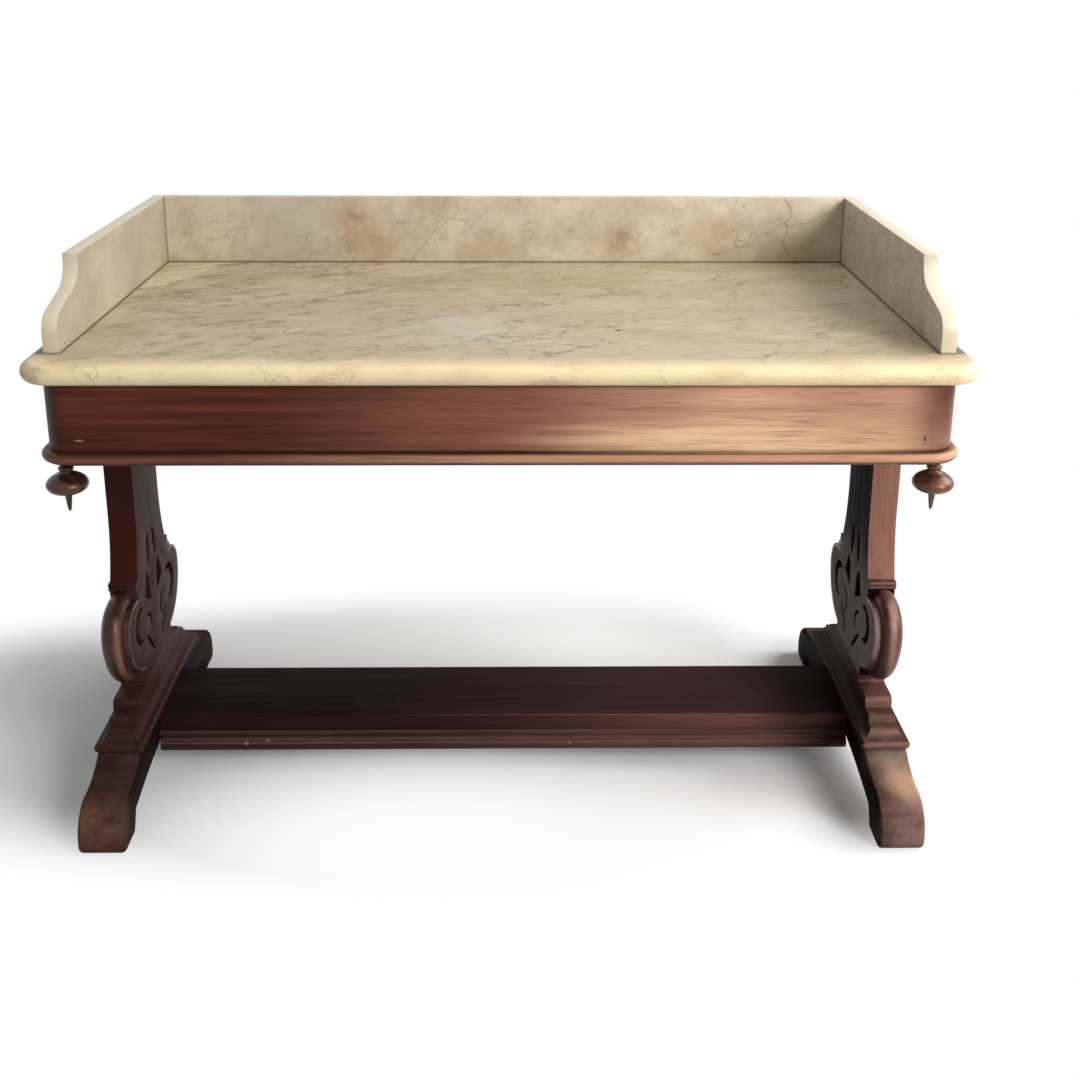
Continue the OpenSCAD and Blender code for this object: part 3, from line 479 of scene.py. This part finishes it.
woods = {
    "railMahogany": {
        "grain": "level", "tones": (tone(58, 22, 15), tone(84, 38, 28), tone(108, 56, 40)),
        "gloss": 0.36, "shine": 0.22,
        # painted light: the front face painted lighter towards the right, as a painted sheen
        "coats": ((tone(152, 98, 80), 0.75, by("X", -0.35, 0.05), front),
                  (tone(206, 156, 128), 0.85, by("X", 0.0, 0.28), front),
                  # painted shade on the rounded corners, where they turn from the light
                  (tone(92, 54, 42), 0.95, by("X", 0.50, 0.57), front),
                  (blackish, 0.75, by("X", -0.550, -0.566)),
                  shadeUnderSlab,
                  shadeOverBead),
        # painted highlights: a golden sheen across the front face
        "gleams": (((0.30, railFace, 0.618), 0.25, (1.4, 1, 0.14), tone(250, 212, 168), 1.0),
                   ((0.16, railFace, 0.635), 0.10, (0.9, 1, 0.5), tone(222, 172, 136), 0.3),
                   ((0.31, railFace, 0.645), 0.13, (0.9, 1, 0.5), tone(240, 196, 156), 0.75),
                   ((0.45, railFace, 0.625), 0.10, (1.1, 1, 0.3), tone(232, 184, 140), 0.5)),
        "nicks": (((-0.534, railFace, 0.615), 0.006, (1.4, 1, 0.3), tone(180, 140, 112)),
                  ((0.539, railFace, 0.616), 0.004, (0.6, 1, 1.6), blackish)),
    },
    "sideRailMahogany": {
        "grain": "level", "tones": (tone(54, 22, 16), tone(78, 36, 27), tone(100, 52, 38)),
        "gloss": 0.38,
        "coats": (shadeUnderSlab,),
    },
    "beadMahogany": {
        "grain": "level", "tones": (tone(84, 48, 33), tone(112, 68, 48), tone(140, 90, 64)),
        "gloss": 0.34, "shine": 0.3,
        # painted highlight on the top and front of the bead, stronger towards the right, and painted shade
        # on its underside
        "coats": ((tone(204, 156, 126), 0.8, by("X", -0.4, 0.1), roundFront),
                  (tone(204, 154, 122), 0.8, by("X", 0.0, 0.5), roundFront),
                  (tone(46, 24, 17), 0.85, looking("Z", 0.1, -0.6))),
    },
    # lit and shaded copies of one wood: the left pendant painted darker as painted shade, the right one
    # lighter as painted light
    "leftTurnedMahogany": {
        "grain": "Z", "tones": (tone(40, 21, 15), tone(58, 34, 25), tone(78, 48, 36)),
        "gloss": 0.2, "shine": 0.6,
    },
    "rightTurnedMahogany": {
        "grain": "Z", "tones": (tone(66, 38, 28), tone(100, 64, 48), tone(134, 92, 72)),
        "gloss": 0.2, "shine": 0.6,
    },
    "leftPanelMahogany": {
        "grain": "Z", "tones": (tone(42, 23, 21), tone(58, 34, 32), tone(74, 45, 41)),
        "gloss": 0.45, "shine": 0.12, "dust": 0.04,
        # painted shade: the left neck's front edge painted dark red, the shaded counterpart of the right
        # neck's
        "coats": ((tone(58, 22, 16), 1.0, *neckEdge),),
    },
    "rightPanelMahogany": {
        "grain": "Z", "tones": (tone(44, 24, 22), tone(60, 35, 33), tone(76, 46, 42)),
        "gloss": 0.55, "shine": 0.02, "dust": 0.02,
        # painted light and shade: the inner face painted paler, its upper part near-black as painted shade,
        # the front-facing sides of the openings dark as painted shade, and the neck's front edge light as
        # painted light
        "coats": ((tone(138, 129, 127), 0.95, intoLeft),
                  (tone(14, 13, 20), 0.9, intoLeft, by("Z", 0.29, 0.38)),
                  (tone(20, 14, 15), 0.9, looking("Y", -0.3, -0.7)),
                  (tone(150, 106, 92), 1.0, *neckEdge)),
    },
    # the rolls come as lit and shaded copies: the left wood painted darker as painted shade, the right
    # lighter as painted light
    "leftRollMahogany": {
        "grain": "Z", "tones": (tone(38, 19, 16), tone(56, 31, 25), tone(80, 49, 40)),
        "gloss": 0.26, "shine": 0.42,
        # painted highlight down the roll, and painted shade on its left rim
        "coats": ((tone(140, 96, 80), 0.6, looking("X", 0.15, 0.6), looking("X", 0.95, 0.7),
                   looking("Z", 0.75, 0.1), looking("Z", -0.8, -0.2)),
                  (blackish, 0.8, looking("X", -0.05, -0.65))),
    },
    "rightRollMahogany": {
        "grain": "Z", "tones": (tone(62, 34, 30), tone(90, 54, 48), tone(120, 80, 70)),
        "gloss": 0.26, "shine": 0.42,
        # painted highlight down the roll, and painted shade on both rims
        "coats": ((tone(176, 136, 124), 0.7, looking("X", -0.5, -0.15), looking("X", 0.45, 0.0),
                   looking("Y", -0.2, -0.6), looking("Z", -0.7, -0.1)),
                  (blackish, 0.7, looking("X", -0.3, -0.8)),
                  (blackish, 0.7, looking("X", 0.5, 0.95))),
    },
    # lit and shaded copies: the left base painted darker as painted shade, the right one lighter as painted
    # light
    "leftBaseMahogany": {
        "grain": "level", "tones": (tone(30, 14, 12), tone(44, 22, 19), tone(64, 34, 28)),
        "gloss": 0.42, "shine": 0.15, "dust": 0.10,
        "coats": ((tone(64, 28, 22), 0.7, looking("X", 0.2, 0.7)),),
    },
    "rightBaseMahogany": {
        "grain": "level", "tones": (tone(48, 28, 24), tone(66, 40, 34), tone(90, 58, 50)),
        "gloss": 0.5, "shine": 0.08, "dust": 0.35,
        # painted shade on the right base's inner side, and painted light on its front
        "coats": ((blackish, 0.85, intoLeft),
                  (tone(132, 98, 88), 0.8, squareFront)),
    },
    # lit and shaded copies: the left foot painted darker as painted shade, the right one lighter as painted
    # light
    "leftFootMahogany": {
        "grain": "level", "tones": (tone(34, 20, 16), tone(50, 31, 25), tone(68, 44, 36)),
        "gloss": 0.55, "shine": 0.06, "dust": 0.15,
        # painted shade: the left foot's inner side near-black
        "coats": ((tone(18, 11, 10), 1.0, intoRight),),
        "patches": (((-0.57, -0.31, 0.05), 0.075, even, tone(118, 82, 70), 0.8),),
    },
    "rightFootMahogany": {
        "grain": "level", "tones": (tone(52, 33, 29), tone(74, 50, 44), tone(98, 68, 60)),
        "gloss": 0.55, "shine": 0.03, "dust": 0.25,
        # painted shade: the right foot's inner side near-black
        "coats": ((tone(10, 5, 5), 1.2, intoLeft),),
        "patches": (((0.57, -0.205, 0.095), 0.06, even, tone(136, 116, 104), 0.8),
                    ((0.58, -0.25, 0.075), 0.058, (0.9, 1, 1), tone(186, 148, 122), 0.9),
                    ((0.575, -0.31, 0.03), 0.07, even, tone(140, 110, 103), 0.8)),
    },
    "shelfMahogany": {
        "grain": "X", "tones": (tone(28, 18, 19), tone(39, 26, 27), tone(52, 34, 34)),
        "gloss": 0.55, "shine": 0.03, "dust": 0.05,
        # painted light: the shelf painted lighter towards the right
        "coats": ((tone(84, 57, 55), 0.75, towardsRight),
                  # painted highlight along the top front edge
                  (tone(126, 90, 82), 0.8, looking("Y", -0.2, -0.5), by("X", -0.3, 0.2)),
                  (tone(50, 29, 27), 0.95, uprightFront),
                  # painted light: the front face painted lighter towards the right
                  (tone(122, 80, 72), 0.85, uprightFront, by("X", -0.1, 0.5)),
                  # painted shade beside the right trestle
                  (tone(20, 13, 13), 0.8, by("X", 0.36, 0.47))),
    },
    "mouldingMahogany": {
        "grain": "X", "tones": (tone(44, 26, 24), tone(62, 38, 36), tone(84, 54, 50)),
        "gloss": 0.4, "shine": 0.15, "dust": 0.10,
        "coats": ((tone(126, 96, 88), 0.5, looking("Z", 0.2, 0.8)),
                  # painted light: lighter towards the right
                  (tone(104, 70, 63), 0.65, towardsRight),
                  # painted shade beside the right trestle
                  (tone(24, 16, 15), 0.7, by("X", 0.38, 0.48))),
        "nicks": (((-0.363, mouldFace, 0.055), 0.007, even, tone(170, 148, 130)),
                  ((-0.396, mouldFace, 0.049), 0.005, even, tone(150, 128, 110)),
                  ((-0.42, mouldFace, 0.055), 0.003, even, tone(130, 100, 84)),
                  ((0.10, mouldFace, 0.047), 0.003, even, tone(150, 120, 96))),
    },
}

plainPine = {"light": tone(150, 112, 76), "dark": tone(118, 82, 52), "grain": tone(92, 62, 40)}
dullIron = {"metal": tone(88, 84, 80), "rust": tone(92, 58, 40)}


def pinePaint():
    p = Paint("plainPine")
    rings = p.cloud(p.laid((6, 6, 30)), 1.0, 4.0, 0.6, 0.5)
    fine = p.cloud(p.laid((40, 40, 300)), 1.0, 3.0, 0.6)
    colour = p.blend(rings.rise(0.4, 0.65), plainPine["light"], plainPine["dark"])
    colour = p.blend(fine.rise(0.45, 0.7) * 0.4, colour, plainPine["grain"])
    return p.finish(colour, 0.7 + 0.15 * rings, fine, 0.0004)


def ironPaint():
    p = Paint("dullIron")
    rust = p.cloud(p.spot, 90, 5.0, 0.7)
    colour = p.blend(rust.rise(0.45, 0.65), dullIron["metal"], dullIron["rust"])
    return p.finish(colour, 0.45 + 0.35 * rust, rust, 0.0003, Metallic=0.8)


# the camera, as the photo was taken
view = {
    "place": (0.0185, -1.9279, 1.1893),
    "turn": 1.03,                      # degrees towards the right
    "down": 16.881,
    "roll": 0.284,
    "lens": 45.1,
    "sensor": 36,
    "shift": -0.15,
}


def setCamera():
    data = bpy.data.cameras.new("photoCamera")
    data.sensor_width = view["sensor"]
    data.lens = view["lens"]
    data.shift_y = view["shift"]
    data.dof.use_dof = False
    cam = bpy.data.objects.new("photoCamera", data)
    scene.collection.objects.link(cam)
    cam.location = view["place"]
    turned = Matrix.Rotation(math.radians(-view["turn"]), 3, "Z")
    tipped = Matrix.Rotation(math.radians(90 - view["down"]), 3, "X")
    rolled = Matrix.Rotation(math.radians(view["roll"]), 3, "Z")
    cam.rotation_euler = (turned @ tipped @ rolled).to_euler()
    scene.camera = cam


studio = {
    # each lamp: (place, watts, size)
    "lamps": {
        "keyLamp": ((2.9, -3.5, 2.5), 158, 2.4),
        "sideLamp": ((3.3, -0.05, 2.5), 130, 2.6),
        "topLamp": ((0.2, 0.4, 6.0), 45, 2.4),
        "fillLamp": ((-2.2, -2.0, 1.6), 3, 2.0),
    },
    "aim": (0, 0, 0.4),
    "world": 0.17,
    "floorSize": 14,
    "floorWhite": 0.97,
    "floorGlow": 0.07,                 # added for the camera only, so that the lit floor comes out white
    "floorBounce": 0.5,                # the floor as the object sees it
    "fadeShape": (0.7, 2.0, 1),        # the floor turns to plain white sooner in front and behind
    "fadeMiddle": (0, 0.07, 0),
    "fadeFrom": 0.64,                  # metres from the middle
    "fadeTo": 0.98,
    "pool": ((-0.12, -0.28, 0), 0.56, (1.0, 0.55, 1)),     # painted light: the floor painted white between the front toes, over the shadow there
    "poolWhite": 0.9,
}


def addLamp(name, place, power, size):
    data = bpy.data.lights.new(name, "AREA")
    data.energy = power
    data.shape = "DISK"
    data.size = size
    lamp = bpy.data.objects.new(name, data)
    scene.collection.objects.link(lamp)
    lamp.location = place
    lamp.rotation_euler = (Vector(studio["aim"]) - Vector(place)).to_track_quat("-Z", "Y").to_euler()


def glow(tree, kind, strength):
    node = tree.nodes.new(kind)
    node.inputs["Color"].default_value = (1, 1, 1, 1)
    node.inputs["Strength"].default_value = strength
    return node.outputs[0]


def seenDirectly(tree):
    # 1 for what the camera, a reflection or a clear pane sees
    path = tree.nodes.new("ShaderNodeLightPath")
    seen = path.outputs["Is Camera Ray"]
    for ray in ("Is Glossy Ray", "Is Transmission Ray"):
        either = tree.nodes.new("ShaderNodeMath")
        either.operation = "MAXIMUM"
        tree.links.new(seen, either.inputs[0])
        tree.links.new(path.outputs[ray], either.inputs[1])
        seen = either.outputs[0]
    return seen


def mixShaders(tree, amount, first, second, kind="ShaderNodeMixShader"):
    node = tree.nodes.new(kind)
    if amount is not None:
        tree.links.new(amount, node.inputs[0])
    tree.links.new(first, node.inputs[-2])
    tree.links.new(second, node.inputs[-1])
    return node.outputs[0]


def lightUp():
    for name, (place, power, size) in studio["lamps"].items():
        addLamp(name, place, power, size)
    world = bpy.data.worlds.new("studioWorld")
    scene.world = world
    world.use_nodes = True
    tree = world.node_tree
    tree.nodes.clear()
    out = tree.nodes.new("ShaderNodeOutputWorld")
    both = mixShaders(tree, seenDirectly(tree), glow(tree, "ShaderNodeBackground", studio["world"]),
                      glow(tree, "ShaderNodeBackground", 1))
    tree.links.new(both, out.inputs[0])
    scene.view_settings.view_transform = "Standard"


def floorPaint():
    p = Paint("studioFloor")
    near = p.add("ShaderNodeBsdfDiffuse", None, {"Color": (studio["floorWhite"],) * 3 + (1,)}).socket
    bounce = p.add("ShaderNodeBsdfDiffuse", None, {"Color": (studio["floorBounce"],) * 3 + (1,)}).socket
    far = p.add("ShaderNodeVectorMath", {"operation": "LENGTH"}, {
        0: p.laid(studio["fadeShape"], shift=studio["fadeMiddle"])}, "Value")
    pool = p.near(*studio["pool"]) * studio["poolWhite"]
    fade = far.rise(studio["fadeFrom"], studio["fadeTo"]).most(pool).socket
    lit = mixShaders(p.tree, None, near, glow(p.tree, "ShaderNodeEmission", studio["floorGlow"]),
                     "ShaderNodeAddShader")
    look = mixShaders(p.tree, fade, lit, glow(p.tree, "ShaderNodeEmission", 1))
    both = mixShaders(p.tree, seenDirectly(p.tree), bounce, look)
    out = p.tree.nodes.new("ShaderNodeOutputMaterial")
    p.tree.links.new(both, out.inputs["Surface"])
    return p.stuff


def layFloor():
    letGo()
    bpy.ops.mesh.primitive_plane_add(size=studio["floorSize"], location=(0, 0, 0))
    floor = bpy.context.object
    floor.name = "floor"
    dress(floor, floorPaint())


setCamera()
print("camera set")
lightUp()
layFloor()
print("studio set")

finishes = {"slabMarble": slabPaint()}
for name, look in upstands.items():
    finishes[name] = splashPaint(name, **look)
for name, look in woods.items():
    finishes[name] = mahoganyPaint(name, **look)
pine = pinePaint()
iron = ironPaint()
print("finishes mixed")

rubbed = {
    # pieces that keep the CAD shape: (slot, rubbed edge in metres, finish)
    "marbleSlab": ("marble", 0.0015, "slabMarble"),
    "backSplash": ("marble", 0.0018, "backSplashMarble"),
    "leftSplash": ("marble", 0.0022, "leftSplashMarble"),
    "rightSplash": ("marble", 0.0022, "rightSplashMarble"),
    "frontRail": ("mahogany", 0, "railMahogany"),
    "backRail": ("mahogany", 0.001, "sideRailMahogany"),
    "leftRail": ("mahogany", 0, "sideRailMahogany"),
    "rightRail": ("mahogany", 0, "sideRailMahogany"),
    "leftCornerBlock": ("mahogany", 0, "railMahogany"),
    "rightCornerBlock": ("mahogany", 0, "railMahogany"),
    "frontBead": ("mahogany", 0, "beadMahogany"),
    "leftBead": ("mahogany", 0, "beadMahogany"),
    "rightBead": ("mahogany", 0, "beadMahogany"),
    "leftCornerBead": ("mahogany", 0, "beadMahogany"),
    "rightCornerBead": ("mahogany", 0, "beadMahogany"),
    "leftPanel": ("dark_mahogany", 0.0014, "leftPanelMahogany"),
    "rightPanel": ("dark_mahogany", 0.0014, "rightPanelMahogany"),
    "leftFrontRoll": ("mahogany", 0.0005, "leftRollMahogany"),
    "leftRearRoll": ("mahogany", 0.0005, "leftRollMahogany"),
    "rightFrontRoll": ("mahogany", 0.0005, "rightRollMahogany"),
    "rightRearRoll": ("mahogany", 0.0005, "rightRollMahogany"),
    "leftFrontCollar": ("dark_mahogany", 0.0005, "leftPanelMahogany"),
    "leftRearCollar": ("dark_mahogany", 0.0005, "leftPanelMahogany"),
    "rightFrontCollar": ("dark_mahogany", 0.0005, "rightBaseMahogany"),
    "rightRearCollar": ("dark_mahogany", 0.0005, "rightBaseMahogany"),
    "leftPedestal": ("dark_mahogany", 0.0014, "leftBaseMahogany"),
    "rightPedestal": ("dark_mahogany", 0.0014, "rightBaseMahogany"),
    "leftPlinth": ("dark_mahogany", 0.0014, "leftBaseMahogany"),
    "rightPlinth": ("dark_mahogany", 0.0014, "rightBaseMahogany"),
    "leftFoot": ("dark_mahogany", 0.006, "leftFootMahogany"),
    "rightFoot": ("dark_mahogany", 0.006, "rightFootMahogany"),
    "shelfBoard": ("dark_mahogany", 0.0015, "shelfMahogany"),
    "shelfFrontMoulding": ("dark_mahogany", 0.0008, "mouldingMahogany"),
    "shelfRearMoulding": ("dark_mahogany", 0.0008, "mouldingMahogany"),
}

rubbing = {
    "weld": 0.00002,                   # metres between points of the CAD mesh that are one
    "flat": 0.6,                       # degrees between triangles of one flat face
    "sharp": 32,                       # degrees from which an edge is rubbed down
    "smooth": 38,                      # degrees up to which the shading runs on
    "steps": 3,
    "unclamped": ("leftFoot", "rightFoot"),     # a round toe's facets are shorter than its rubbed edge
}


def softened(name, ease, stuff):
    obj = bpy.data.objects.new(name, nodes[nodeOf(name)].data.copy())
    scene.collection.objects.link(obj)
    intoEdit(obj)
    bpy.ops.mesh.customdata_custom_splitnormals_clear()
    bpy.ops.mesh.select_all(action="SELECT")
    bpy.ops.mesh.remove_doubles(threshold=rubbing["weld"])
    bpy.ops.mesh.dissolve_limited(angle_limit=math.radians(rubbing["flat"]))
    letGo()
    dress(obj, stuff)
    if ease:
        applyModifier(obj, "BEVEL", width=ease, segments=rubbing["steps"], limit_method="ANGLE",
                      angle_limit=math.radians(rubbing["sharp"]),
                      use_clamp_overlap=name not in rubbing["unclamped"])
    smoothOver(obj, rubbing["smooth"])
    hangOn(obj)


for name, (slotName, ease, finish) in rubbed.items():
    softened(name, ease, finishes[finish])
print("edges rubbed down")

for node in ("left_bearer", "right_bearer", "centre_bearer", "glue_blocks", "left_cleat", "right_cleat",
             "base_dowels"):
    dress(nodes[node], pine)
for node in ("splash_pins", "bearer_screws", "cleat_screws"):
    dress(nodes[node], iron)

pendant = {
    "sides": 64,
    "smooth": 60,                      # degrees
    # radius and drop below the frieze, ring by ring, in millimetres
    "rings": ((8.4, 0), (9.6, 1.6), (10.0, 3.6), (9.6, 5.6), (8.2, 7.4), (7.0, 9.0),
              (7.6, 10.2), (9.4, 11.6), (10.0, 13.5), (9.4, 15.4), (8.0, 16.8), (8.6, 18.4),
              (11.6, 20.4), (16.4, 22.8), (20.8, 25.6), (24.2, 28.8), (26.4, 32.2), (27.0, 35.0),
              (26.4, 38.0), (24.6, 41.0), (21.6, 43.6), (17.2, 45.8), (12.0, 47.3), (7.6, 48.1),
              (5.4, 48.6), (4.8, 50.0), (4.3, 54.0), (3.6, 60.0), (2.8, 66.5), (2.1, 71.0),
              (1.3, 72.5), (0.4, 73.0)),
}


def turnPendant(name, stuff):
    low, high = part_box(nodeOf(name))
    x, y = (low.x + high.x) / 2, (low.y + high.y) / 2
    rings = [(radius / 1000, railUnder - drop / 1000) for radius, drop in pendant["rings"]]
    letGo()
    bpy.ops.mesh.primitive_circle_add(vertices=pendant["sides"], radius=rings[0][0], fill_type="NGON",
                                      location=(x, y, rings[0][1]))
    obj = bpy.context.object
    obj.name = name
    settle(obj)
    intoEdit(obj)
    bpy.ops.mesh.select_all(action="SELECT")
    for (lastRadius, lastHeight), (radius, height) in zip(rings, rings[1:]):
        grow = radius / lastRadius
        bpy.ops.mesh.extrude_region_move(TRANSFORM_OT_translate={"value": (0, 0, height - lastHeight)})
        bpy.ops.transform.resize(value=(grow, grow, 1), center_override=(x, y, height))
    bpy.ops.mesh.select_all(action="SELECT")
    bpy.ops.mesh.normals_make_consistent(inside=False)
    letGo()
    smoothOver(obj, pendant["smooth"])
    dress(obj, stuff)
    hangOn(obj)


turnPendant("leftPendant", finishes["leftTurnedMahogany"])
turnPendant("rightPendant", finishes["rightTurnedMahogany"])
print("pendants turned")
